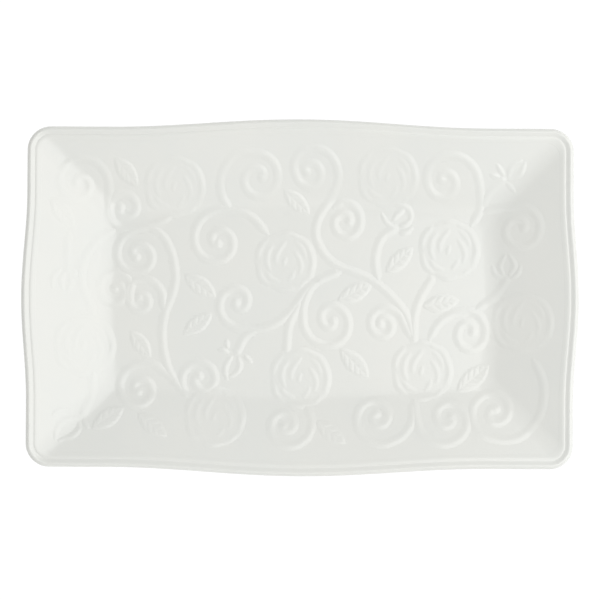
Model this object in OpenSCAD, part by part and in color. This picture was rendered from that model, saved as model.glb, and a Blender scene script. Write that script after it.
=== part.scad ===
// Oblong china serving platter: a sloped-wall dish with a rolled lip, a raised bead inside the lip,
// an unglazed foot ring, and a low relief of roses, leaves, buds and spiral scrolls.
// Origin: centre of the foot ring, on the plane that the platter stands on. +X long, +Z up.

/* [Outline] */
// Overall length, at the middle of the bowed ends
platter_l = 356; // [340:1:380]
// Overall width, at the middle of the bowed sides
platter_w = 228; // [220:1:240]
// How far each end bows out past its corners
end_bow = 3.5; // [1:0.5:5]
// How far each long side bows out past its corners
side_bow = 5.3; // [1:0.1:7]
// Radius of the outer corners
corner_r = 15; // [12:1:20]

/* [Section] */
// Overall height, from the foot to the crest of the lip
rim_h = 25; // [22:1:30]
// Height of the foot ring under the floor
foot_h = 2.5; // [2:0.5:4]
// Thickness of the floor of the well
floor_t = 5; // [4:0.5:6]
// Thickness of the sloped wall, measured upright
wall_t = 4.4; // [3.5:0.1:5]
// Width of the sloped wall in plan, from the edge to the foot of the slope
wall_run = 54; // [50:1:56]

/* [Rim] */
// Width of the rolled lip
lip_w = 4.8; // [4:0.1:5.2]
// Rise of the bead above the wall
bead_rise = 0.6; // [0.5:0.1:1.5]

/* [Foot] */
// Length of the foot ring, over its outside
foot_l = 236; // [200:1:238]
// Width of the foot ring, over its outside
foot_w = 106; // [90:1:108]
// Width of the band that the platter stands on
foot_band = 5; // [4:0.5:8]
// Outside corner radius of the foot ring
foot_r = 14; // [10:1:20]

/* [Relief] */
// Radius of each rose
rose_r = 19.2; // [15:0.1:19.5]
// Width of the raised stems and scrolls
stem_w = 4; // [3:0.1:4.2]
// Height of the relief above the glazed surface
relief_h = 0.6; // [0.5:0.1:1.4]
// Depth that the relief is bedded into the body
relief_bed = 0.5; // [0.3:0.1:1]

/* [Hidden] */
nominal_l = 356;
nominal_w = 228;
end_bow_reach = 67;
side_bow_reach = 121;
well_z = foot_h + floor_t;
wall_top_in = 9.2;
wall_top_z = rim_h - 2.1;
cove = 5;
cove_z = well_z + 1.6;
bead_out = 5.5;
bead_in = 8.7;
bead_crest = 6.9;
bead_seat_z = rim_h - 1.7;
inner_corner_r = 5;
lip_drop = 1.6;
relief_shift = [-1, 0.3];
side_steps = 22;
end_steps = 12;
corner_steps = 5;
spiral_steps = 3;
stem_steps = 3;
rose_sides = 20;
bud_gap = 0.6;
sepal_l = 8;
sepal_w = 3.6;
sepal_out = 7;
sepal_turn = 65;
porcelain = "whitesmoke";
bare_clay = "antiquewhite";

// Roses: the centre of each.
ROSES = [
    [-80, 70.5], [-9, 23], [56.5, 77], [96, 31], [1, -51.5],
    [79, -46.5], [-53.5, -76.5], [-137, -31.5], [143, -15.5]
];

// Two of the roses stand on short stalks of their own: [rose number, points].
STALKS = [
    [4, [[85, 12], [78, 0], [74.5, -11], [74, -26]]],
    [5, [[0, -4.5], [-6, -17.5], [-7.5, -32.5]]]
];

// Leaves: centre x, centre y, direction in degrees, length.
LEAVES = [
    [-63, 7.5, -35, 26], [-64.5, -17, 36, 24], [-101, -30, -53, 23], [-1.5, 61.5, -43, 24],
    [64.5, 24.5, 43, 25], [36, 3.5, 26, 26], [91, -3, 10, 25], [36, -41.5, -45, 27],
    [112, -51, 40, 28], [21, -86, -38, 25], [-93, -82, -38, 25], [-121.5, -77.5, 35, 26],
    [-110.5, 80, -52, 25], [-151, 53.5, -50, 25]
];

// Buds: tip of the stem x, y, direction in degrees, length, and the points of the stem.
BUDS = [
    [61.5, 45.5, 58, 15, [[51, 11.5], [49, 25.5], [53, 38.5], [61.5, 45.5]]],
    [-39, -34.5, -113, 18, [[-23, -18], [-34, -25], [-39, -34.5]]],
    [-137, -74, -135, 23, [[-131, -47], [-131.5, -62], [-137, -74]]],
    [130, 75.5, 42, 20, [[117, 57.5], [121.5, 66.5], [130, 75.5]]],
    [133, 12, 87, 16, [[114, -7], [126, 2], [133, 12]]],
    [-153, 16.5, -92, 13, [[-147, 41], [-151.5, 28], [-153, 16.5]]]
];

// Scrolls: the points of the stem, then the centre of the spiral, its first angle, its turning
// sense (1 is anticlockwise), and its radius at each quarter turn.
SCROLLS = [
    [[[-118.5, 47], [-121, 54], [-121.5, 61.5]],
        [-140.5, 72], -10, 1, [19.3, 16.3, 12.5, 9.5, 7, 3.8, 2]],
    [[[-81.5, 52], [-90.5, 47.5], [-102, 44]], [-112.3, 57], -95, -1, [13, 9.2, 9, 8.2, 5, 2]],
    [[[-101, 44], [-106, 42.5]], [-102.5, 26.5], 115, 1, [15.8, 13, 10, 8, 6, 2]],
    [[[-108, -6], [-108, 2]], [-117, 4], 20, 1, [10.5, 11.7, 9.3, 7.5, 5, 2]],
    [[[-86, -10]], [-101.5, -1.5], 10, 1, [14.8, 12.8, 7.3, 7.2, 5, 2]],
    [[[-20, 41], [-31.5, 52.5]], [-51.5, 36.2], 75, 1, [21, 16, 13.3, 9.7, 7, 4.5, 2]],
    [[[-43.5, 55.5], [-49.5, 65.5], [-50, 77], [-45, 87], [-37.5, 92.3]],
        [-25.5, 76.5], 95, -1, [15.7, 12, 11.8, 9.7, 6, 2]],
    [[[74, -27], [67.5, -8], [48, 11], [23, 22], [12, 36], [12, 50], [22, 66.5], [25, 77]],
        [6.5, 81], 10, 1, [18, 14, 9.2, 9.8, 7, 4.5, 2]],
    [[[22.5, 58]], [30.5, 49.2], 100, -1, [12.8, 9.2, 9.7, 8, 5, 2]],
    [[[28, 18], [8.5, 8.5], [-4, -7.5], [-14, -16], [-24.5, -20]],
        [-38, -3], -80, -1, [17, 12.8, 9, 5.5, 4.5, 2]],
    [[[17.5, 14.5], [8.5, 7.5], [3.2, -4]],
        [20.5, -15], 180, 1, [17.6, 15.3, 11.5, 10, 5.5, 3.5, 2]],
    [[[73, -26]], [54.5, -16], 5, 1, [13, 9.3, 8.3, 8, 5, 3.3, 2]],
    [[[84, -26], [90, -16], [98.3, -10]], [110, -21], 92, -1, [13, 10, 11.5, 7.8, 5, 2]],
    [[[150, -39], [155.5, -50], [157, -63], [153, -77], [143.5, -87.5], [133.5, -90.5]],
        [126, -72.3], -100, -1, [17, 14.3, 11.5, 8.7, 6.5, 3, 2]],
    [[[74.5, -63.5], [75.5, -75]], [96.2, -76.5], 205, 1, [20, 15, 10.8, 9.3, 6.8, 4, 2]],
    [[[73.5, -66], [73, -78.5], [66.5, -88.3]],
        [50.8, -75.7], -70, -1, [18.5, 14, 10.7, 7.5, 6, 3, 2]],
    [[[5, -68.5]], [-7.2, -81.7], 25, -1, [17, 14, 10.7, 8.7, 5.5, 3.7, 2]],
    [[[-75.5, -57], [-80.5, -52]], [-101, -58.7], 50, 1, [18, 14, 11.5, 8.7, 6.5, 4.5, 2]],
    [[[-68.5, -63.3]], [-62.1, -51.8], 225, -1, [13.6, 11, 9.3, 8.5, 5, 2]],
    [[[110.5, 47], [116.3, 57.5], [116.3, 67]], [93, 76], 0, 1, [22, 15, 11.3, 11.5, 6.8, 4, 2]],
    [[[117, 56], [129, 58]], [142.3, 45], 100, -1, [14.5, 12, 12, 10, 6, 2]]
];

// Vines that carry no spiral of their own.
VINES = [
    [[-97, 45.5], [-87.5, 39.5], [-81.5, 28.5], [-79, 15], [-80.5, 3.5], [-85.5, -10], [-87.2, -25],
        [-85, -40], [-80, -52], [-71.5, -62]],
    [[-118, 43.5], [-130, 35], [-137.5, 21], [-138.5, 8.5], [-134, -3], [-130, -12]]
];

// ---- The outline and the surface that the relief lies on ----

// A smooth bow: 1 at the middle of a side, 0 at its reach.
function bow(t) = abs(t) < 1 ? (1 + cos(180 * t)) / 2 : 0;

// Half the length at height y on the plan, and half the width at x.
function half_x(y) = platter_l / 2 - end_bow * (1 - bow(y / end_bow_reach));
function half_y(x) = platter_w / 2 - side_bow * (1 - bow(x / side_bow_reach));

// Distance in from the edge, by the outer corner's arc or by the smaller arc of the rings inside it.
function inset(p) =
    let (a = half_x(p.y) - abs(p.x), b = half_y(p.x) - abs(p.y), r = inner_corner_r)
    let (outer = corner_r - norm([corner_r - a, corner_r - b]))
    a < corner_r && b < corner_r && outer < corner_r - r ? outer : mitred(a, b, r);

// Distance in from two sides that meet in an arc of radius r.
function mitred(a, b, r) =
    abs(a - b) < r ? (a + b + sqrt(2 * r * r - (a - b) * (a - b))) / 2 - r : min(a, b);

// Points [inset, height] of the glazed surface, from the lip down to the well.
GLAZE = [
    [lip_w, rim_h - lip_drop],
    [bead_out, bead_seat_z],
    [bead_in, wall_top_z + 0.2],
    [wall_top_in, wall_top_z],
    [wall_run - cove, cove_z],
    [wall_run, well_z + 0.4],
    [wall_run + cove, well_z]
];

// Points of the underside, from the well out to the lip.
UNDERSIDE = [
    [wall_run - 2, foot_h],
    [wall_run - 5, cove_z - wall_t - 0.8],
    [wall_run - 9, cove_z - wall_t + 1.2],
    [wall_top_in, wall_top_z - wall_t],
    [lip_w, rim_h - lip_drop - wall_t + 0.8]
];

function surface_z(p) = lookup(inset(p), GLAZE);

// One closed outline, a distance d in from the edge, anticlockwise from the right-hand side.
function outline(d) =
    let (r = max(corner_r - d, inner_corner_r))
    let (xc = platter_l / 2 - end_bow - d - r, yc = platter_w / 2 - side_bow - d - r)
    let (cx = half_x(yc) - d - r, cy = half_y(xc) - d - r)
    let (right = [for (i = [1:end_steps - 1])
        let (y = cy * (2 * i / end_steps - 1)) [half_x(y) - d, y]])
    let (top = [for (i = [1:side_steps - 1])
        let (x = cx * (1 - 2 * i / side_steps)) [x, half_y(x) - d]])
    let (corner = [for (i = [0:corner_steps]) r * [cos(90 * i / corner_steps), sin(90 * i / corner_steps)]])
    concat(
        right,
        [for (q = corner) [cx + q.x, cy + q.y]],
        top,
        [for (q = corner) [-cx - q.y, cy + q.x]],
        [for (p = right) -p],
        [for (q = corner) [-cx - q.x, -cy - q.y]],
        [for (p = top) -p],
        [for (q = corner) [cx + q.y, -cy - q.x]]
    );

function level(d, z) = [for (p = outline(d)) [p.x, p.y, z]];

// ---- Solids made of stacked rings of points ----

function band(a, b, n) = [for (i = [0:n - 1]) each [
    [a * n + i, b * n + i, a * n + (i + 1) % n],
    [a * n + (i + 1) % n, b * n + i, b * n + (i + 1) % n]
]];

function middle(ring) = [for (i = [0:len(ring) - 1]) 1] * ring / len(ring);

// Rings joined in order. The first and the last are each closed by a fan about their middle point.
module stack(rings) {
    n = len(rings[0]);
    m = len(rings);
    first_hub = m * n;
    last_hub = m * n + 1;
    bands = [for (k = [0:m - 2]) each band(k, k + 1, n)];
    first = [for (i = [0:n - 1]) [first_hub, i, (i + 1) % n]];
    last = [for (i = [0:n - 1]) [last_hub, (m - 1) * n + (i + 1) % n, (m - 1) * n + i]];
    points = concat([for (r = rings) each r], [middle(rings[0]), middle(rings[m - 1])]);
    polyhedron(points, concat(bands, first, last));
}

// Rings joined in order and back to the first, as for the lip.
module loop(rings) {
    n = len(rings[0]);
    m = len(rings);
    polyhedron([for (r = rings) each r], [for (k = [0:m - 1]) each band(k, (k + 1) % m, n)]);
}

// ---- Curves of the relief ----

// A point of the layout, stretched with the platter.
function scaled(p) =
    let (q = p + relief_shift) [q.x * platter_l / nominal_l, q.y * platter_w / nominal_w];

function blend(a, b, c, d, t) =
    0.5 * (2 * b + (c - a) * t + (2 * a - 5 * b + 4 * c - d) * t * t
        + (3 * b - a - 3 * c + d) * t * t * t);

// A smooth curve through the points, with its ends included.
function smooth(pts, steps) =
    let (n = len(pts))
    let (all = concat([2 * pts[0] - pts[1]], pts, [2 * pts[n - 1] - pts[n - 2]]))
    concat(
        [for (i = [0:n - 2], k = [0:steps - 1])
            blend(all[i], all[i + 1], all[i + 2], all[i + 3], k / steps)],
        [pts[n - 1]]
    );

function spiral(centre, first, sense, radii) =
    let (r = smooth(radii, spiral_steps))
    [for (i = [0:len(r) - 1])
        let (a = first + sense * 90 * i / spiral_steps) centre + r[i] * [cos(a), sin(a)]];

function scroll_path(s) =
    let (turns = spiral(s[1], s[2], s[3], s[4]))
    let (stem = smooth(concat(s[0], [turns[0]]), stem_steps))
    concat([for (i = [0:len(stem) - 2]) stem[i]], turns);

function heading(path, i) =
    let (a = path[max(i - 1, 0)], b = path[min(i + 1, len(path) - 1)])
    (b - a) / norm(b - a);

// A raised ridge along a path, bedded into the surface. halves gives half its width at each point.
module ridge(path, halves, height) {
    crest = 0.45;
    sides = [[-1, -relief_bed], [-crest, height], [crest, height], [1, -relief_bed]];
    stack([for (i = [0:len(path) - 1])
        let (t = heading(path, i))
        [for (s = sides)
            let (p = path[i] + s[0] * halves[i] * [-t.y, t.x])
            [p.x, p.y, surface_z(p) + s[1]]]
    ]);
}

module stem(points) {
    path = [for (p = smooth(points, stem_steps)) scaled(p)];
    ridge(path, [for (p = path) stem_w / 2], relief_h);
}

// A leaf or petal: pointed at both ends and widest at the middle.
module blade(centre, angle, length, width, height) {
    steps = 8;
    tip = 0.3;
    along = [cos(angle), sin(angle)];
    path = [for (i = [0:steps]) scaled(centre) + along * length * (i / steps - 0.5)];
    ridge(path, [for (i = [0:steps]) tip + width / 2 * sin(180 * i / steps)], height);
}

// ---- The pieces ----

module platter_body() {
    color(porcelain) stack(concat(
        [for (i = [len(GLAZE) - 1:-1:0]) level(GLAZE[i][0], GLAZE[i][1])],
        [for (i = [len(UNDERSIDE) - 1:-1:0]) level(UNDERSIDE[i][0], UNDERSIDE[i][1])]
    ));
}

module rim_lip() {
    inner_top = GLAZE[0];
    inner_foot = UNDERSIDE[len(UNDERSIDE) - 1];
    section = [
        inner_foot,
        inner_top,
        [lip_w - 1.2, rim_h - 0.5],
        [lip_w / 2, rim_h],
        [1, rim_h - 0.5],
        [0.2, rim_h - lip_drop],
        [0, rim_h - 2.8],
        [0.6, rim_h - 4.2],
        [2.2, inner_foot[1] - 0.2]
    ];
    color(porcelain) loop([for (s = section) level(s[0], s[1])]);
}

module rim_bead() {
    section = [
        [bead_in, wall_top_z + 0.2],
        [bead_in - 0.6, wall_top_z + 0.2 + bead_rise * 0.6],
        [bead_crest, bead_seat_z + bead_rise * 0.9],
        [bead_out + 0.4, bead_seat_z + bead_rise * 0.6],
        [bead_out, bead_seat_z]
    ];
    color(porcelain) loop([for (i = [len(section) - 1:-1:0]) level(section[i][0], section[i][1])]);
}

module rounded_plate(l, w, r) {
    square([l - 2 * r, w], center = true);
    square([l, w - 2 * r], center = true);
    for (sx = [-1, 1], sy = [-1, 1])
        translate([sx * (l / 2 - r), sy * (w / 2 - r)]) circle(r, $fn = 48);
}

module foot_ring() {
    color(bare_clay) linear_extrude(foot_h) difference() {
        rounded_plate(foot_l, foot_w, foot_r);
        rounded_plate(foot_l - 2 * foot_band, foot_w - 2 * foot_band, foot_r - foot_band);
    }
}

// A low dome with a rolled outer petal and a raised heart.
module rose(i) {
    centre = scaled(ROSES[i - 1]);
    rings = [[0.99, -relief_bed], [1, 0.1], [0.93, relief_h], [0.75, 0.7 * relief_h],
        [0.5, 1.2 * relief_h], [0.18, 1.6 * relief_h]];
    color(porcelain) stack([for (k = [len(rings) - 1:-1:0])
        [for (j = [0:rose_sides - 1])
            let (a = 360 * j / rose_sides)
            let (p = centre + rose_r * rings[k][0] * [cos(a), sin(a)])
            [p.x, p.y, surface_z(p) + rings[k][1]]]
    ]);
    for (s = STALKS) if (s[0] == i) color(porcelain) stem(s[1]);
}

module leaf(i) {
    l = LEAVES[i - 1];
    color(porcelain) blade([l[0], l[1]], l[2], l[3], l[3] / 2, relief_h);
}

// A bud: its petals, two sepals that spread from its foot, and its stem.
module bud(i) {
    b = BUDS[i - 1];
    head_share = 0.6;
    head_rise = 1.3;
    tip = [b[0], b[1]];
    aim = [cos(b[2]), sin(b[2])];
    side = [-aim.y, aim.x];
    color(porcelain) {
        blade(tip + aim * (bud_gap + b[3] / 2), b[2], b[3], b[3] * head_share, head_rise * relief_h);
        for (s = [-1, 1]) blade(tip + s * side * sepal_out, b[2] + s * sepal_turn, sepal_l, sepal_w, relief_h);
        stem(b[4]);
    }
}

module scroll(i) {
    path = [for (p = scroll_path(SCROLLS[i - 1])) scaled(p)];
    last = len(path) - 1;
    end_taper = 4;
    end_share = 0.6;
    color(porcelain) ridge(
        path,
        [for (k = [0:last]) stem_w / 2 * min(1, end_share + (last - k) * (1 - end_share) / end_taper)],
        relief_h
    );
}

module vine(i) {
    color(porcelain) stem(VINES[i - 1]);
}

platter_body();
rim_lip();
rim_bead();
foot_ring();
for (i = [1:len(ROSES)]) rose(i);
for (i = [1:len(LEAVES)]) leaf(i);
for (i = [1:len(BUDS)]) bud(i);
for (i = [1:len(SCROLLS)]) scroll(i);
for (i = [1:len(VINES)]) vine(i);
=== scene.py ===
"""A china serving platter: an oblong glazed dish with a low relief of roses, buds and scrolls.

Shapes are worked out in millimetres on the platter's plan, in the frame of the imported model, and
turned into metres when a mesh is made. Each piece of relief is a closed solid of its own. Its
top follows the glazed surface of the body, and its edge ends just under that surface.
"""

import math

import bpy
import numpy as np
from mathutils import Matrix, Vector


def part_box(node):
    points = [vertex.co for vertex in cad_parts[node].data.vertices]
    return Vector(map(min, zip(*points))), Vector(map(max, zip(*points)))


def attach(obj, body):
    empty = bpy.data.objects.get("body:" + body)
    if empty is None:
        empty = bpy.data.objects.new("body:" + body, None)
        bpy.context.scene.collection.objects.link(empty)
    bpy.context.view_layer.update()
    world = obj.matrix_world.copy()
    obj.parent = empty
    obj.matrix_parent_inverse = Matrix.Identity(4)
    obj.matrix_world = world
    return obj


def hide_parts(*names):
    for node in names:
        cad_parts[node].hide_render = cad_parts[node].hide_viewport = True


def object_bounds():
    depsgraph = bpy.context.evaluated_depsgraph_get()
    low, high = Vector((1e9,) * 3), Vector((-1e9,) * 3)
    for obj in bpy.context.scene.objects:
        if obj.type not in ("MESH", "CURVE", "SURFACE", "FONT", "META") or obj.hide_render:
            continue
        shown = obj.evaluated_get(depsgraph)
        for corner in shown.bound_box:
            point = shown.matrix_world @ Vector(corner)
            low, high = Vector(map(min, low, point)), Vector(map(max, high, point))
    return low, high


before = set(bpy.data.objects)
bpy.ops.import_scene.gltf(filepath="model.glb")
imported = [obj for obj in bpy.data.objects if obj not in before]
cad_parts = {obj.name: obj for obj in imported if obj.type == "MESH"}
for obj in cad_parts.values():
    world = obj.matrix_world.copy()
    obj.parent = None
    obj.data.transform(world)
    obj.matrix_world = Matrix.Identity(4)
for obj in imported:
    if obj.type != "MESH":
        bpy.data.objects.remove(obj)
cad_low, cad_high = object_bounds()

MM = 0.001

# ---- Dimensions, in millimetres ----

LENGTH = (cad_high[0] - cad_low[0]) / MM
WIDTH = (cad_high[1] - cad_low[1]) / MM
HEIGHT = (cad_high[2] - cad_low[2]) / MM

# The size that the relief's layout was drawn for.
NOMINAL_LENGTH = 356
NOMINAL_WIDTH = 228

# How far the middle of an end or a side bows out, and how far along it the bow reaches.
END_BOW, END_BOW_REACH = 3.5, 67
SIDE_BOW, SIDE_BOW_REACH = 5.3, 121

# Radius of the platter's corners, and of the folds where two walls meet.
CORNER_R = 15
MITRE_R = 9

# The glazed surface: a flat well, then walls that start this far in from the edge, ease out of the
# well over a cove and go straight up to the floor of the rim.
WELL_Z = 7.5
WALL_FOOT = 54
WALL_SLOPE = 0.344
COVE = 6
RIM_FLOOR = HEIGHT - 1.7

# The same for the underside, which has no rim.
UNDER_Z, UNDER_SLOPE, UNDER_FOOT, UNDER_COVE = 2.5, 0.352, 54.7, 4

# Rings of points on the body, for the walls, the cove and the outer part of the well: distance in
# from the edge, start and end, and spacing. Two more are drawn in from the last by these shares.
BODY_RINGS = [(4.2, 47, 1.0), (47, 62, 0.75), (63, 96, 3)]
WELL_SHARES = (0.65, 0.3)

# Steps along each end, along each side and round each corner of a ring.
OUTLINE_STEPS = (60, 100, 10)
FOOT_STEPS = (30, 60, 12)

# The foot ring's width, and the radius of its outer corners.
FOOT_BAND = 5
FOOT_CORNER_R = 14

# The relief: the grids that it is sampled on, how far its edge ends under the glaze, and how far
# down into the body its solids go.
RELIEF_STEP = 0.4
ROSE_STEP = 0.36
EDGE_SINK = 0.012
BED = 0.6

# For stems, the eyes of spirals and buds, W is half the width and H the height of the crest.
STEM_W, STEM_H = 3.9, 0.3
EYE_W, EYE_H = 4.2, 0.4
PETAL_W, SEPAL_W, PETAL_H = 3.0, 2.6, 0.31
BUD_MARGIN = 3

# Steps of a curve from one of its points to the next.
STEM_STEPS = 10
SPIRAL_STEPS = 9
ROSE_PETAL_STEPS = 5
SECTION_STEPS = 5

# A stem starts at this share of its full section, and reaches the full one after this length.
JOINED = 0.5
JOINT_REACH = 5

# A rose is a cushion that rises over the width of its edge, but for a share that goes on rising to
# the middle. Its outline has two sets of lobes: their size, number and turn in radians.
ROSE_R = 20.8
ROSE_MEAN_R = 20.3
ROSE_LOBES = [(0.7, 5, -0.3), (0.4, 8, 1)]
ROSE_H = 0.22
ROSE_EDGE = 4.0
ROSE_DOME = 0.25

# A leaf reaches its height this far in from its edge. LEAF_POINT shapes its two tips.
LEAF_H = 0.34
LEAF_EDGE = 2.8
LEAF_WIDTH_SHARE = 0.5
LEAF_POINT = 0.85

# A leaf's midrib and side veins are grooves, whose depth is a share of the leaf's height. The side
# veins are raked back, and fade out this far in from the edge.
VEIN_W = 0.9
RIB_DEPTH = 0.28
VEIN_DEPTH = 0.308
VEIN_GAP = 4.8
VEIN_RAKE = 0.9
VEIN_FADE = 3

# ---- The relief's layout, as on the design ----

# The whole layout moves by this much, to where it lies on the platter.
SHIFT = (-1.0, 0.3)

# The centre of each rose.
ROSES = [
    (-80, 70.5), (-9, 23), (56.5, 77), (96, 31), (1, -51.5),
    (79, -46.5), (-53.5, -76.5), (-137, -31.5), (143, -15.5),
]

# The stalks that two of the roses stand on, by the rose's number.
STALKS = {
    4: [(85, 12), (78, 0), (74.5, -11), (74, -26)],
    5: [(0, -4.5), (-6, -17.5), (-7.5, -32.5)],
}

# Centre, direction in degrees and length of each leaf.
LEAVES = [
    (-63, 7.5, -35, 26), (-64.5, -17, 36, 24), (-101, -30, -53, 23), (-1.5, 61.5, -43, 24),
    (64.5, 24.5, 43, 25), (36, 3.5, 26, 26), (91, -3, 10, 25), (36, -41.5, -45, 27),
    (112, -51, 40, 28), (21, -86, -38, 25), (-93, -82, -38, 25), (-121.5, -77.5, 35, 26),
    (-110.5, 80, -52, 25), (-151, 53.5, -50, 25),
]

# Each bud: the points of its stem, then of each petal, then of each sepal.
BUDS = [
    ([(51, 11.5), (49, 25.5), (53, 38.5), (61, 44.5)],
     [[(60.5, 50.5), (63.8, 54.5), (67.3, 57)],
      [(60.5, 60), (65, 59.8), (69.8, 57.5), (72, 53), (70.5, 48.5)],
      [(65.5, 46.5), (68.5, 47.5), (71, 49.5)], [(65, 42), (69, 42.7), (72.5, 45.2)]],
     [[(61.5, 44.8), (56.5, 48.5), (53, 54.3)]]),
    ([(-23, -18), (-34, -25), (-39, -34.5)],
     [[(-42.8, -38.3), (-45.7, -42.3), (-46.8, -46.8), (-45.5, -52.5)],
      [(-38.2, -38.8), (-37.2, -42.8), (-38.8, -47), (-43.5, -50.8)]],
     [[(-46, -27.5), (-45.2, -32)], [(-50.5, -33.5), (-45, -35)], [(-34, -37.5), (-30, -41.5)]]),
    ([(-131, -47), (-131.5, -62), (-137, -74)],
     [[(-140, -78.5), (-145.5, -78), (-150.8, -80.8), (-153.8, -85.5), (-154.5, -91)],
      [(-139.5, -80.5), (-140, -85), (-144, -89), (-152, -92.3)]],
     [[(-156, -76), (-152.5, -73), (-148.5, -72)], [(-137, -79), (-134, -84)]]),
    ([(117, 57.5), (121.5, 66.5), (130, 75.5)],
     [[(134, 78), (136, 84), (142, 88)], [(134, 76), (141, 79.5), (144.5, 86.5)]],
     [[(126.5, 85.5), (131, 78.5)], [(133, 74), (138, 68.5)], [(128, 77.5), (122.5, 79)]]),
    ([(114, -7), (126, 2), (133, 12)],
     [[(131, 15), (129, 21), (132, 28)], [(135, 15), (138, 21), (135, 28)]],
     [[(131, 13), (126, 16), (124, 21)], [(136, 13), (140, 16), (142, 21)]]),
    ([(-147, 41), (-147.5, 29), (-146.5, 17)],
     [[(-152.3, 17.5), (-156.3, 12.5), (-157, 6)], [(-150, 14.5), (-151.5, 10.5), (-150.5, 5)],
      [(-146, 12.5), (-145.3, 8.5), (-147.5, 4)]],
     [[(-144.5, 17), (-141.5, 13.5)]]),
]

# Each scroll: its stem, then its centre, first angle, turning sense and radius at each quarter turn.
SCROLLS = [
    ([(-118.5, 47), (-121, 54), (-121.5, 61.5)], (-140.5, 72), -10, 1, [19.3, 16.3, 12.5, 9.5, 7, 3.8, 2]),
    ([(-81.5, 52), (-90.5, 47.5), (-102, 44)], (-112.3, 57), -95, -1, [13, 9.2, 9, 8.2, 5, 2]),
    ([(-101, 44), (-106, 42.5)], (-102.5, 26.5), 115, 1, [15.8, 13, 10, 8, 6, 2]),
    ([(-108, -6), (-108, 2)], (-117, 4), 20, 1, [10.5, 11.7, 9.3, 7.5, 5, 2]),
    ([(-86, -10)], (-101.5, -1.5), 10, 1, [14.8, 12.8, 7.3, 7.2, 5, 2]),
    ([(-20, 41), (-31.5, 52.5)], (-51.5, 36.2), 75, 1, [21, 16, 13.3, 9.7, 7, 4.5, 2]),
    ([(-43.5, 55.5), (-49.5, 65.5), (-50, 77), (-45, 87), (-37.5, 92.3)],
     (-25.5, 76.5), 95, -1, [15.7, 12, 11.8, 9.7, 6, 2]),
    ([(74, -27), (67.5, -8), (48, 11), (23, 22), (12, 36), (12, 50), (22, 66.5), (25, 77)],
     (6.5, 81), 10, 1, [18, 14, 9.2, 9.8, 7, 4.5, 2]),
    ([(22.5, 58)], (30.5, 49.2), 100, -1, [12.8, 9.2, 9.7, 8, 5, 2]),
    ([(28, 18), (8.5, 8.5), (-4, -7.5), (-14, -16), (-24.5, -20)],
     (-38, -3), -80, -1, [17, 12.8, 9, 5.5, 4.5, 2]),
    ([(17.5, 14.5), (8.5, 7.5), (3.2, -4)], (20.5, -15), 180, 1, [17.6, 15.3, 11.5, 10, 5.5, 3.5, 2]),
    ([(73, -26)], (54.5, -16), 5, 1, [13, 9.3, 8.3, 8, 5, 3.3, 2]),
    ([(84, -26), (90, -16), (98.3, -10)], (110, -21), 92, -1, [13, 10, 11.5, 7.8, 5, 2]),
    ([(150, -39), (155.5, -50), (157, -63), (153, -77), (143.5, -87.5), (133.5, -90.5)],
     (126, -72.3), -100, -1, [17, 14.3, 11.5, 8.7, 6.5, 3, 2]),
    ([(74.5, -63.5), (75.5, -75)], (96.2, -76.5), 205, 1, [20, 15, 10.8, 9.3, 6.8, 4, 2]),
    ([(73.5, -66), (73, -78.5), (66.5, -88.3)], (50.8, -75.7), -70, -1, [18.5, 14, 10.7, 7.5, 6, 3, 2]),
    ([(5, -68.5)], (-7.2, -81.7), 25, -1, [17, 14, 10.7, 8.7, 5.5, 3.7, 2]),
    ([(-75.5, -57), (-80.5, -52)], (-101, -58.7), 50, 1, [18, 14, 11.5, 8.7, 6.5, 4.5, 2]),
    ([(-68.5, -63.3)], (-62.1, -51.8), 225, -1, [13.6, 11, 9.3, 8.5, 5, 2]),
    ([(110.5, 47), (116.3, 57.5), (116.3, 67)], (93, 76), 0, 1, [22, 15, 11.3, 11.5, 6.8, 4, 2]),
    ([(117, 56), (129, 58)], (142.3, 45), 100, -1, [14.5, 12, 12, 10, 6, 2]),
]

# The points of the two long stems that end in no spiral of their own.
VINES = [
    [(-97, 45.5), (-87.5, 39.5), (-81.5, 28.5), (-79, 15), (-80.5, 3.5), (-85.5, -10), (-87.2, -25),
     (-85, -40), (-80, -52), (-71.5, -62)],
    [(-118, 43.5), (-130, 35), (-137.5, 21), (-138.5, 8.5), (-134, -3), (-130, -12)],
]

# A rose's petal edges: the half-width and height of each, then its points from the rose's centre.
ROSE_PETALS = [
    (3.4, 0.2, [(5.5, 17.2), (12.8, 13.6), (17.2, 6.2), (18, -1.8), (15.8, -9.8), (10.6, -15)]),
    (3.0, 0.14, [(-11, 15), (-15.8, 9.4), (-17.4, 2.5)]),
    (2.8, 0.11, [(-17.6, -1), (-15.6, -9), (-10.5, -14.5)]),
    (3.0, 0.10, [(-7, -16.6), (-0.5, -17.8), (5.5, -16.8)]),
    (2.8, 0.08, [(-8, 16), (-1.5, 18), (5, 17.2)]),
    (2.8, 0.14, [(-7.5, 11), (-10.6, 6.5), (-11.4, 0), (-9.4, -5.5)]),
    (2.6, 0.12, [(-11.5, -7), (-8.3, -10.6), (-3.5, -12.6)]),
    (2.8, 0.15, [(0.5, 13), (-2.6, 9.2), (-5.4, 4), (-5.6, -0.5)]),
    (2.6, 0.13, [(6.4, 6.5), (9, 2.5), (10.6, -3), (9.4, -7.5)]),
    (2.6, 0.08, [(7, 12.6), (11.4, 8.4), (13.6, 3)]),
    (2.4, 0.11, [(6.2, -6), (4.6, -9.4), (2.4, -12)]),
    (2.2, 0.13, [(-0.6, -2.2), (-0.2, 0.4), (0.8, 2.6)]),
]


# ---- The plan and the glazed surface ----

# A place along a side where its bow is over, whatever the platter's size.
PAST_THE_BOW = 10000


def bow(t):
    """1 at the middle of a side, 0 at its reach and beyond."""
    return np.where(np.abs(t) < 1, (1 + np.cos(np.pi * t)) / 2, 0)


def half_length(y):
    """Half the platter's length at this height on the plan."""
    return LENGTH / 2 - END_BOW * (1 - bow(y / END_BOW_REACH))


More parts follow.
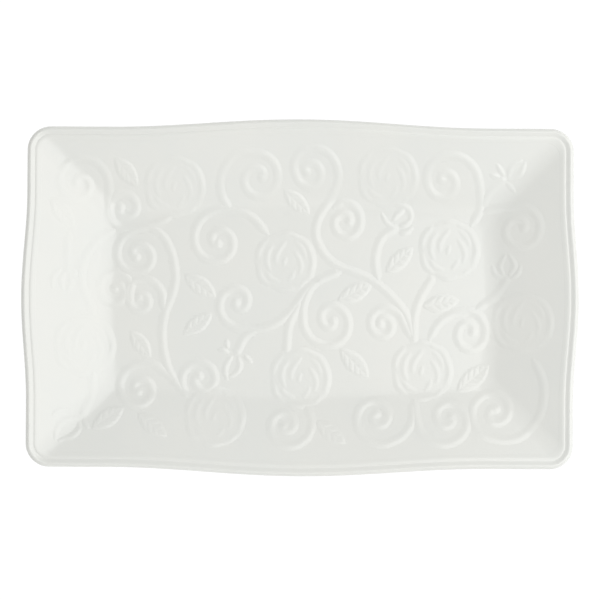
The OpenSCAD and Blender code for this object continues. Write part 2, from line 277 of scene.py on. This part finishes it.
def half_width(x):
    """Half the platter's width at this place along it."""
    return WIDTH / 2 - SIDE_BOW * (1 - bow(x / SIDE_BOW_REACH))


def inset(x, y):
    """Distance in from the platter's edge, with corners that stay a little round all the way in."""
    a = half_length(y) - np.abs(x)
    b = half_width(x) - np.abs(y)
    outer = CORNER_R - np.hypot(CORNER_R - a, CORNER_R - b)
    gap = np.minimum(np.abs(a - b), MITRE_R)
    inner = (a + b + np.sqrt(2 * MITRE_R**2 - gap**2)) / 2 - MITRE_R
    inner = np.where(np.abs(a - b) < MITRE_R, inner, np.minimum(a, b))
    in_corner = (a < CORNER_R) & (b < CORNER_R) & (outer < CORNER_R - MITRE_R)
    return np.where(in_corner, outer, inner)


def slope_height(d, base, slope, foot, cove):
    """Height of a straight slope that eases into a flat at its foot."""
    run = foot - d
    eased = base + slope * (run + cove) ** 2 / (4 * cove)
    return np.where(run > cove, base + slope * run, np.where(run > -cove, eased, base))


def glaze_z(x, y):
    """Height of the glazed surface of the well, the walls and the floor of the rim."""
    return np.minimum(slope_height(inset(x, y), WELL_Z, WALL_SLOPE, WALL_FOOT, COVE), RIM_FLOOR)


def under_z(x, y):
    """Height of the underside."""
    return slope_height(inset(x, y), UNDER_Z, UNDER_SLOPE, UNDER_FOOT, UNDER_COVE)


def rounded_outline(length_at, width_at, d, corner_r, steps):
    """Points of a bowed oblong, a distance d in from its edge, anticlockwise from the right."""
    end_steps, side_steps, corner_steps = steps
    r = corner_r
    yc = width_at(PAST_THE_BOW) - d - r
    xc = length_at(PAST_THE_BOW) - d - r
    cx = float(length_at(yc)) - d - r
    cy = float(width_at(xc)) - d - r
    t = np.arange(1, end_steps) / end_steps
    y = cy * (2 * t - 1)
    right = np.stack([length_at(y) - d, y], 1)
    t = np.arange(1, side_steps) / side_steps
    x = cx * (1 - 2 * t)
    top = np.stack([x, width_at(x) - d], 1)
    a = np.linspace(0, np.pi / 2, corner_steps + 1)
    corner = r * np.stack([np.cos(a), np.sin(a)], 1)
    turned = np.stack([-corner[:, 1], corner[:, 0]], 1)
    return np.concatenate([
        right, corner + (cx, cy), top, turned + (-cx, cy),
        -right, -corner - (cx, cy), -top, -turned + (cx, -cy),
    ])


def outline(d):
    """Points of the platter's own outline, a distance d in from its edge."""
    return rounded_outline(half_length, half_width, d, max(CORNER_R - d, MITRE_R), OUTLINE_STEPS)


# ---- Meshes ----

# Faces that meet at more than this many degrees have a sharp edge between them.
SHARP_ANGLE = 50


def make_mesh(name, points, faces):
    """An object with these points, given in millimetres, shaded smooth except at sharp edges."""
    mesh = bpy.data.meshes.new(name)
    mesh.from_pydata((np.asarray(points) * MM).tolist(), [], faces)
    mesh.validate()
    mesh.update()
    mesh.shade_smooth()
    mesh.set_sharp_from_angle(angle=math.radians(SHARP_ANGLE))
    piece = bpy.data.objects.new(name, mesh)
    bpy.context.scene.collection.objects.link(piece)
    return piece


def ring_faces(first, second, n):
    """Quads between two rings of n points that start at these indices."""
    return [(first + i, first + (i + 1) % n, second + (i + 1) % n, second + i) for i in range(n)]


def loft(name, rings, closed):
    """Rings of points joined in order: back to the first if closed, else a fan at each end."""
    n, m = len(rings[0]), len(rings)
    points = np.concatenate(rings)
    faces = []
    for k in range(m if closed else m - 1):
        faces += ring_faces(k * n, (k + 1) % m * n, n)
    if not closed:
        hubs = np.array([rings[0].mean(0), rings[-1].mean(0)])
        points = np.concatenate([points, hubs])
        faces += [(m * n, (i + 1) % n, i) for i in range(n)]
        faces += [(m * n + 1, (m - 1) * n + i, (m - 1) * n + (i + 1) % n) for i in range(n)]
    return make_mesh(name, points, faces)


def grid_over(low, high, step):
    """Places on a grid of whole steps that covers a box, with a row to spare."""
    xs = np.arange(math.floor(low[0] / step) - 1, math.ceil(high[0] / step) + 2) * step
    ys = np.arange(math.floor(low[1] / step) - 1, math.ceil(high[1] / step) + 2) * step
    return np.meshgrid(xs, ys, indexing="ij")


def corners_of(cells):
    """Which points of a grid are corners of these cells."""
    rows, columns = cells.shape
    corners = np.zeros((rows + 1, columns + 1), bool)
    for i in (0, 1):
        for j in (0, 1):
            corners[i:i + rows, j:j + columns] |= cells
    return corners


def closed_faces(quads, count):
    """Faces of a solid, from the quads of its top. Its bottom's points come count later."""
    faces = quads.tolist() + (quads[:, ::-1] + count).tolist()
    edges = np.concatenate([quads[:, [k, (k + 1) % 4]] for k in range(4)]).tolist()
    twins = {(b, a) for a, b in edges}
    return faces + [(b, a, a + count, b + count) for a, b in edges if (a, b) not in twins]


def heightfield(name, low, high, step, height_at):
    """A closed solid on the glaze, over the cells of a grid where height_at(x, y) isn't zero."""
    x, y = grid_over(low, high, step)
    rise = height_at(x, y)
    base = glaze_z(x, y)
    solid = rise > 0
    cells = solid[:-1, :-1] | solid[1:, :-1] | solid[:-1, 1:] | solid[1:, 1:]
    used = corners_of(cells)
    count = int(used.sum())
    index = np.full(used.shape, -1)
    index[used] = np.arange(count)
    top = np.stack([x[used], y[used], (base + rise - EDGE_SINK)[used]], 1)
    bottom = np.stack([x[used], y[used], (base - BED)[used]], 1)
    i, j = np.nonzero(cells)
    quads = np.stack([index[i, j], index[i + 1, j], index[i + 1, j + 1], index[i, j + 1]], 1)
    return make_mesh(name, np.concatenate([top, bottom]), closed_faces(quads, count))


# ---- Curves and heights of the relief ----

def scaled(points):
    """Layout points, stretched if the platter isn't its nominal size."""
    return (np.asarray(points, float) + SHIFT) * (LENGTH / NOMINAL_LENGTH, WIDTH / NOMINAL_WIDTH)


def smooth(points, steps):
    """A Catmull-Rom curve through the points, with its ends included."""
    p = np.asarray(points, float)
    if p.ndim == 1:
        p = p[:, None]
    p = np.concatenate([[2 * p[0] - p[1]], p, [2 * p[-1] - p[-2]]])
    curve = []
    for a, b, c, d in zip(p, p[1:], p[2:], p[3:]):
        for t in np.arange(steps) / steps:
            curve.append(0.5 * (2 * b + (c - a) * t + (2 * a - 5 * b + 4 * c - d) * t**2
                                + (3 * b - a - 3 * c + d) * t**3))
    return np.array(curve + [p[-2]])


def spiral(centre, first, sense, radii):
    """A spiral from its first angle in degrees, with its radius given at each quarter turn."""
    r = smooth(radii, SPIRAL_STEPS)[:, 0]
    a = np.radians(first + sense * 90 * np.arange(len(r)) / SPIRAL_STEPS)
    return np.asarray(centre) + r[:, None] * np.stack([np.cos(a), np.sin(a)], 1)


def bell(t):
    """The section of a soft ridge: 1 on its crest, and 0 with no slope at t = 1 and beyond."""
    return 0.5 + 0.5 * np.cos(np.pi * np.minimum(t, 1))


def ease(t):
    """0 at t = 0 and 1 at t = 1, with no slope at either."""
    t = np.clip(t, 0, 1)
    return t * t * (3 - 2 * t)


def ridge(x, y, path, widths, crests):
    """Height of a ridge along a path, with half its width and its crest given at each point."""
    top = np.zeros_like(x)
    widths = np.broadcast_to(widths, len(path))
    crests = np.broadcast_to(crests, len(path))
    for k in range(len(path) - 1):
        ax, ay = path[k]
        bx, by = path[k + 1] - path[k]
        t = np.clip(((x - ax) * bx + (y - ay) * by) / (bx * bx + by * by), 0, 1)
        reach = np.hypot(x - ax - t * bx, y - ay - t * by)
        width = widths[k] + t * (widths[k + 1] - widths[k])
        crest = crests[k] + t * (crests[k + 1] - crests[k])
        top = np.maximum(top, crest * bell(reach / width))
    return top


def merged(a, b, sharpness=5):
    """The higher of two heights, blended where they are alike."""
    return (a**sharpness + b**sharpness) ** (1 / sharpness)


def tapered(n, low, power=0.7):
    """Values from low at both ends up to 1 at the middle of n points."""
    return low + (1 - low) * np.sin(np.pi * np.linspace(0, 1, n)) ** power


def box_of(path, margin):
    """The low and high corners of a path's box, with a margin round it."""
    return path.min(0) - margin, path.max(0) + margin


def stem_path(points):
    """The curve through a stem's, petal's or sepal's points."""
    return scaled(smooth(points, STEM_STEPS))


def sprung(path):
    """Shares of the full section along a stem, which grows out of what it springs from."""
    run = np.concatenate([[0], np.cumsum(np.hypot(*np.diff(path, axis=0).T))])
    return JOINED + (1 - JOINED) * ease(run / JOINT_REACH)


def build_stem(name, points):
    """A stem that springs from something at both of its ends."""
    path = stem_path(points)
    share = sprung(path) * sprung(path[::-1])[::-1]
    low, high = box_of(path, STEM_W)
    return heightfield(name, low, high, RELIEF_STEP,
                       lambda x, y: ridge(x, y, path, STEM_W * share, STEM_H * share))


def build_scroll(name, scroll):
    """A stem that winds into a spiral and ends in a small round eye."""
    stem, centre, first, sense, radii = scroll
    turns = spiral(centre, first, sense, radii)
    lead = smooth(stem + [tuple(turns[0])], STEM_STEPS)
    path = scaled(np.concatenate([lead[:-1], turns]))
    share = sprung(path)
    eye = path[-1]
    low, high = box_of(path, EYE_W)

    def height_at(x, y):
        line = ridge(x, y, path, STEM_W * share, STEM_H * share)
        return merged(line, EYE_H * bell(np.hypot(x - eye[0], y - eye[1]) / EYE_W))

    return heightfield(name, low, high, RELIEF_STEP, height_at)


def rose_rim(angle):
    """Radius of a rose's outline, which is uneven where its outer petals overlap."""
    lobes = sum(size * np.cos(count * angle + turn) for size, count, turn in ROSE_LOBES)
    return ROSE_MEAN_R + lobes


def rose_height(x, y):
    """A low cushion with a lobed outline, and the rolled edges of its petals standing on it."""
    room = rose_rim(np.arctan2(y, x)) - np.hypot(x, y)
    cushion = (1 - ROSE_DOME) * ease(room / ROSE_EDGE) + ROSE_DOME * ease(room / ROSE_R)
    edges = np.zeros_like(x)
    for width, crest, points in ROSE_PETALS:
        path = smooth(points, ROSE_PETAL_STEPS)
        height_share = tapered(len(path), low=0.3, power=0.6)
        width_share = 0.4 + 0.6 * height_share
        edges = merged(edges, ridge(x, y, path, width * width_share, crest * height_share))
    return ROSE_H * cushion + edges


def build_rose(name, number):
    """A rose, with its stalk if it has one."""
    centre = scaled(ROSES[number - 1])
    stalk = STALKS.get(number)
    low, high = centre - ROSE_R, centre + ROSE_R
    if stalk:
        path = stem_path(stalk)
        stalk_low, stalk_high = box_of(path, STEM_W)
        low, high = np.minimum(low, stalk_low), np.maximum(high, stalk_high)

    def height_at(x, y):
        flower = rose_height(x - centre[0], y - centre[1])
        if not stalk:
            return flower
        return merged(flower, ridge(x, y, path, STEM_W, STEM_H))

    return heightfield(name, low, high, ROSE_STEP, height_at)


def groove(t):
    """Depth of a vein at a distance from its middle, as a share of the full depth."""
    return np.exp(-(t / VEIN_W) ** 2)


def build_leaf(name, leaf):
    """A pointed blade with an engraved midrib and side veins."""
    cx, cy, angle, length = leaf
    centre = scaled((cx, cy))
    along = np.array([math.cos(math.radians(angle)), math.sin(math.radians(angle))])
    half = length / 2

    def height_at(x, y):
        u = (x - centre[0]) * along[0] + (y - centre[1]) * along[1]
        v = (y - centre[1]) * along[0] - (x - centre[0]) * along[1]
        widest = LEAF_WIDTH_SHARE * half
        edge = widest * np.clip(1 - (u / half) ** 2, 0, 1) ** LEAF_POINT - np.abs(v)
        rib = RIB_DEPTH * groove(v)
        past_vein = (u - VEIN_RAKE * np.abs(v)) % VEIN_GAP
        to_vein = np.minimum(past_vein, VEIN_GAP - past_vein)
        veins = VEIN_DEPTH * groove(to_vein) * ease(edge / VEIN_FADE)
        blade = LEAF_H * ease(edge / LEAF_EDGE)
        return np.where(edge > 0, blade * (1 - np.maximum(rib, veins)), 0)

    return heightfield(name, centre - half, centre + half, ROSE_STEP, height_at)


def build_bud(name, bud):
    """A bud: its stem, and a ridge with tapered ends for each petal and sepal."""
    stem, petals, sepals = bud
    path = stem_path(stem)
    lines = [(path, STEM_W * sprung(path), STEM_H * sprung(path))]
    for shapes, width in ((petals, PETAL_W), (sepals, SEPAL_W)):
        for points in shapes:
            path = stem_path(points)
            shape = tapered(len(path), low=0.5)
            lines.append((path, width * shape, PETAL_H * shape))
    low, high = box_of(np.concatenate([path for path, _, _ in lines]), BUD_MARGIN)

    def height_at(x, y):
        total = np.zeros_like(x)
        for path, widths, crests in lines:
            total = merged(total, ridge(x, y, path, widths, crests))
        return total

    return heightfield(name, low, high, RELIEF_STEP, height_at)


# ---- The body, the rim and the foot ----

def level(points, z):
    """Points of the plan at a height, or at a height each."""
    return np.column_stack([points, np.broadcast_to(z, len(points))])


def surface_ring(d, z_at):
    """A ring on a surface, a distance d in from the platter's edge."""
    points = outline(d)
    return level(points, z_at(points[:, 0], points[:, 1]))


def shrinking(ring, shares):
    """Copies of a ring, drawn in towards its middle."""
    middle = ring.mean(0) * (1, 1, 0) + (0, 0, ring[0][2])
    return [middle + (ring - middle) * (share, share, 1) for share in shares]


def build_body():
    """The floor and the sloped walls: the glazed top, then the underside."""
    distances = np.concatenate([np.arange(*span) for span in BODY_RINGS])
    top = [surface_ring(d, glaze_z) for d in distances[::-1]]
    below = [surface_ring(d, under_z) for d in distances]
    well = shrinking(top[0], WELL_SHARES[::-1])
    under_well = shrinking(below[-1], WELL_SHARES)
    return loft("china_body", well + top + below + under_well, closed=False)


def section_loft(name, section):
    """A closed section, swept round the platter's edge.

    Its points are (distance in from the edge, depth under the lip's crest), from the inside out
    over the top and back underneath.
    """
    points = np.array(section[::-1]) * (1, -1) + (0, HEIGHT)
    loop = np.concatenate([points[-1:], points, points[:2]])
    curve = smooth(loop, SECTION_STEPS)[SECTION_STEPS:-SECTION_STEPS - 1]
    return loft(name, [level(outline(d), z) for d, z in curve], closed=True)


def build_lip():
    """The rolled lip, whose inner flank and root run into the body."""
    return section_loft("rolled_lip", [
        (5.7, 3.0), (5.5, 1.7), (5.0, 1.14), (4.2, 0.8), (3.3, 0.36), (2.3, 0), (1.5, 0.16),
        (0.9, 0.55), (0.4, 1.15), (0.1, 2.0), (0, 2.8), (0.25, 3.9), (1.1, 4.8), (2.4, 5.3),
        (3.9, 5.4), (5.2, 5.3), (6.2, 4.4),
    ])


def build_bead():
    """The bead inside the lip: a low ledge with a slight crest, and a step down to the wall."""
    return section_loft("raised_bead", [
        (9.6, 2.9), (9.2, 2.12), (8.2, 1.7), (7.2, 1.34), (6.4, 1.14), (5.8, 1.08), (5.2, 1.12),
        (4.6, 1.3), (4.6, 2.7), (7.2, 3.2),
    ])


def straight(half_size):
    """A side that doesn't bow, for rounded_outline."""
    return lambda t: half_size + 0 * np.asarray(t)


def build_foot():
    """The ground foot ring: a flat band with eased edges, which widens where it joins the floor.

    The points of its section are (distance in from the foot's edge, height).
    """
    low, high = (np.array(corner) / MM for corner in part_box("foot_ring"))
    half_l, half_w = (high[0] - low[0]) / 2, (high[1] - low[1]) / 2
    band = FOOT_BAND
    section = [
        (0, 1.2), (-0.1, 2.0), (-0.6, 2.6), (0.6, 3.2), (band - 0.6, 3.2), (band + 0.6, 2.6),
        (band + 0.1, 2.0), (band, 1.2), (band - 0.3, 0.4), (band - 0.9, 0), (0.9, 0), (0.3, 0.4),
    ]
    rings = []
    for d, z in section:
        corner_r = FOOT_CORNER_R - d
        points = rounded_outline(straight(half_l), straight(half_w), d, corner_r, FOOT_STEPS)
        rings.append(level(points, z))
    return loft("ground_foot", rings, closed=True)


# ---- Materials ----

class Nodes:
    """Short calls for building a material's nodes."""

    def __init__(self, name):
        self.material = bpy.data.materials.new(name)
        self.material.use_nodes = True
        self.tree = self.material.node_tree
        self.shader = self.tree.nodes["Principled BSDF"]
        self.where = self.add("ShaderNodeTexCoord").outputs["Object"]

    def add(self, kind):
        return self.tree.nodes.new(kind)

    def link(self, start, end):
        self.tree.links.new(start, end)

    def noise(self, size_mm, detail):
        """Smooth noise whose features are about this big."""
        node = self.add("ShaderNodeTexNoise")
        node.inputs["Scale"].default_value = 1 / (size_mm * MM)
        node.inputs["Detail"].default_value = detail
        self.link(self.where, node.inputs["Vector"])
        return node.outputs["Fac"]

    def ramp(self, source, stops):
        """A colour ramp from (position, value or colour) stops."""
        node = self.add("ShaderNodeValToRGB")
        elements = node.color_ramp.elements
        while len(elements) < len(stops):
            elements.new(0.5)
        for element, (position, value) in zip(elements, stops):
            element.position = position
            element.color = (value, value, value, 1) if np.isscalar(value) else (*value, 1)
        self.link(source, node.inputs["Fac"])
        return node.outputs["Color"]

    def bump(self, source, depth_mm, below=None):
        """Bumps of this depth, on top of those below if there are any."""
        node = self.add("ShaderNodeBump")
        node.inputs["Strength"].default_value = 1
        node.inputs["Distance"].default_value = depth_mm * MM
        self.link(source, node.inputs["Height"])
        if below:
            self.link(below, node.inputs["Normal"])
        return node.outputs["Normal"]

    def set(self, **values):
        """Plain values for the shader's inputs, with _ for a space in their names."""
        for key, value in values.items():
            self.shader.inputs[key.replace("_", " ")].default_value = value


# Base colours.
PORCELAIN = (0.80, 0.805, 0.765)
PORCELAIN_COOL = (0.785, 0.795, 0.76)
BARE_CLAY = (0.80, 0.77, 0.70)
STAINED_CLAY = (0.70, 0.66, 0.58)


def glaze_material():
    """Clear glaze on porcelain: faint drift in tint and gloss, and a faint orange-peel surface."""
    n = Nodes("glaze")
    tint = n.ramp(n.noise(45, detail=3), [(0.35, PORCELAIN_COOL), (0.65, PORCELAIN)])
    gloss = n.ramp(n.noise(18, detail=4), [(0.3, 0.13), (0.7, 0.20)])
    waves = n.bump(n.noise(9, detail=1), depth_mm=0.012)
    peel = n.bump(n.noise(1.6, detail=2), depth_mm=0.0022, below=waves)
    n.link(tint, n.shader.inputs["Base Color"])
    n.link(gloss, n.shader.inputs["Roughness"])
    n.link(peel, n.shader.inputs["Normal"])
    n.set(IOR=1.5, Coat_Weight=0.1, Coat_Roughness=0.08)
    return n.material


def foot_material():
    """Bare ground porcelain: matt, fine-grained and faintly stained by use."""
    n = Nodes("bare_porcelain")
    tint = n.ramp(n.noise(14, detail=5), [(0.3, STAINED_CLAY), (0.7, BARE_CLAY)])
    roughness = n.ramp(n.noise(3, detail=3), [(0.3, 0.72), (0.7, 0.88)])
    grain = n.bump(n.noise(0.5, detail=3), depth_mm=0.03)
    n.link(tint, n.shader.inputs["Base Color"])
    n.link(roughness, n.shader.inputs["Roughness"])
    n.link(grain, n.shader.inputs["Normal"])
    return n.material


# ---- The stage ----

# The camera: the width that it sees at the height of the rim, its distance in metres, its angles
# in degrees and the place on the plan that it looks at.
FIELD_MM = 382.6
CAMERA_DISTANCE = 4.0
CAMERA_TILT = 2.0
CAMERA_ROLL = 0.3
AIM_MM = (0, -1.6)
SENSOR_MM = 36
CLIP_END = 20

# The floor is dark but glows, which keeps the background plain white and the underside from being
# too bright. Lengths are in metres.
FLOOR_HALF = 3.0
FLOOR_DROP = 0.0002
FLOOR_GREY = 0.05
FLOOR_GLOW = 1.0

# Each light: bearing and elevation in degrees, distance and side in metres, power in watts.
LIGHTS = {
    "key": (6, 52, 1.6, 2.2, 20.8),
    "fill": (-90, 45, 1.6, 2.0, 5.1),
}

# Strength of the even light from all round.
SKY = 0.5


def build_camera():
    """A camera that looks almost straight down, with a slight tilt and roll."""
    camera = bpy.data.objects.new("camera", bpy.data.cameras.new("camera"))
    bpy.context.scene.collection.objects.link(camera)
    bpy.context.scene.camera = camera
    tilt, roll = math.radians(CAMERA_TILT), math.radians(CAMERA_ROLL)
    back = (math.sin(tilt) * math.sin(roll), -math.sin(tilt) * math.cos(roll), math.cos(tilt))
    aim = (AIM_MM[0] * MM, AIM_MM[1] * MM, HEIGHT * MM)
    camera.location = [a + CAMERA_DISTANCE * b for a, b in zip(aim, back)]
    camera.rotation_euler = (tilt, 0, roll)
    camera.data.sensor_width = SENSOR_MM
    camera.data.lens = SENSOR_MM * CAMERA_DISTANCE / (FIELD_MM * MM)
    camera.data.clip_end = CLIP_END


def build_floor():
    """A plain pale floor just under the foot."""
    corners = np.array([(-1, -1, 0), (1, -1, 0), (1, 1, 0), (-1, 1, 0)])
    floor = make_mesh("floor", corners * FLOOR_HALF / MM, [(0, 1, 2, 3)])
    floor.location.z = -FLOOR_DROP
    material = bpy.data.materials.new("pale_floor")
    material.use_nodes = True
    shader = material.node_tree.nodes["Principled BSDF"]
    shader.inputs["Base Color"].default_value = (FLOOR_GREY, FLOOR_GREY, FLOOR_GREY, 1)
    shader.inputs["Roughness"].default_value = 0.9
    shader.inputs["Specular IOR Level"].default_value = 0.0
    shader.inputs["Emission Color"].default_value = (1, 1, 1, 1)
    shader.inputs["Emission Strength"].default_value = FLOOR_GLOW
    floor.data.materials.append(material)


def build_light(name, azimuth, elevation, distance, size, power):
    """A soft square light that faces the platter, from a bearing measured anticlockwise from +X."""
    data = bpy.data.lights.new(name, "AREA")
    data.size = size
    data.energy = power
    light = bpy.data.objects.new(name, data)
    a, e = math.radians(azimuth), math.radians(elevation)
    light.location = (distance * math.cos(e) * math.cos(a), distance * math.cos(e) * math.sin(a),
                      distance * math.sin(e))
    light.rotation_euler = (math.pi / 2 - e, 0, a + math.pi / 2)
    bpy.context.scene.collection.objects.link(light)


def build_world():
    """Even white light from all round."""
    world = bpy.data.worlds.new("studio")
    bpy.context.scene.world = world
    world.use_nodes = True
    background = world.node_tree.nodes["Background"]
    background.inputs["Color"].default_value = (1, 1, 1, 1)
    background.inputs["Strength"].default_value = SKY


# ---- Putting it together ----

def place(piece, material, node):
    """Give a piece its material and its body, and hide the CAD node that it replaces."""
    piece.data.materials.append(material)
    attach(piece, "root")
    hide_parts(node)


def build_platter():
    """Every piece of the platter, in the place of its CAD node."""
    glaze = glaze_material()
    place(build_body(), glaze, "platter_body")
    place(build_lip(), glaze, "rim_lip")
    place(build_bead(), glaze, "rim_bead")
    place(build_foot(), foot_material(), "foot_ring")
    for i in range(1, len(ROSES) + 1):
        place(build_rose(f"china_rose_{i}", i), glaze, f"rose_{i}")
    for i, leaf in enumerate(LEAVES, 1):
        place(build_leaf(f"china_leaf_{i}", leaf), glaze, f"leaf_{i}")
    for i, bud in enumerate(BUDS, 1):
        place(build_bud(f"china_bud_{i}", bud), glaze, f"bud_{i}")
    for i, scroll in enumerate(SCROLLS, 1):
        place(build_scroll(f"china_scroll_{i}", scroll), glaze, f"scroll_{i}")
    for i, points in enumerate(VINES, 1):
        place(build_stem(f"china_vine_{i}", points), glaze, f"vine_{i}")


build_camera()
build_platter()
build_floor()
build_world()
for name, values in LIGHTS.items():
    build_light(name, *values)
bpy.context.scene.view_settings.view_transform = "Standard"
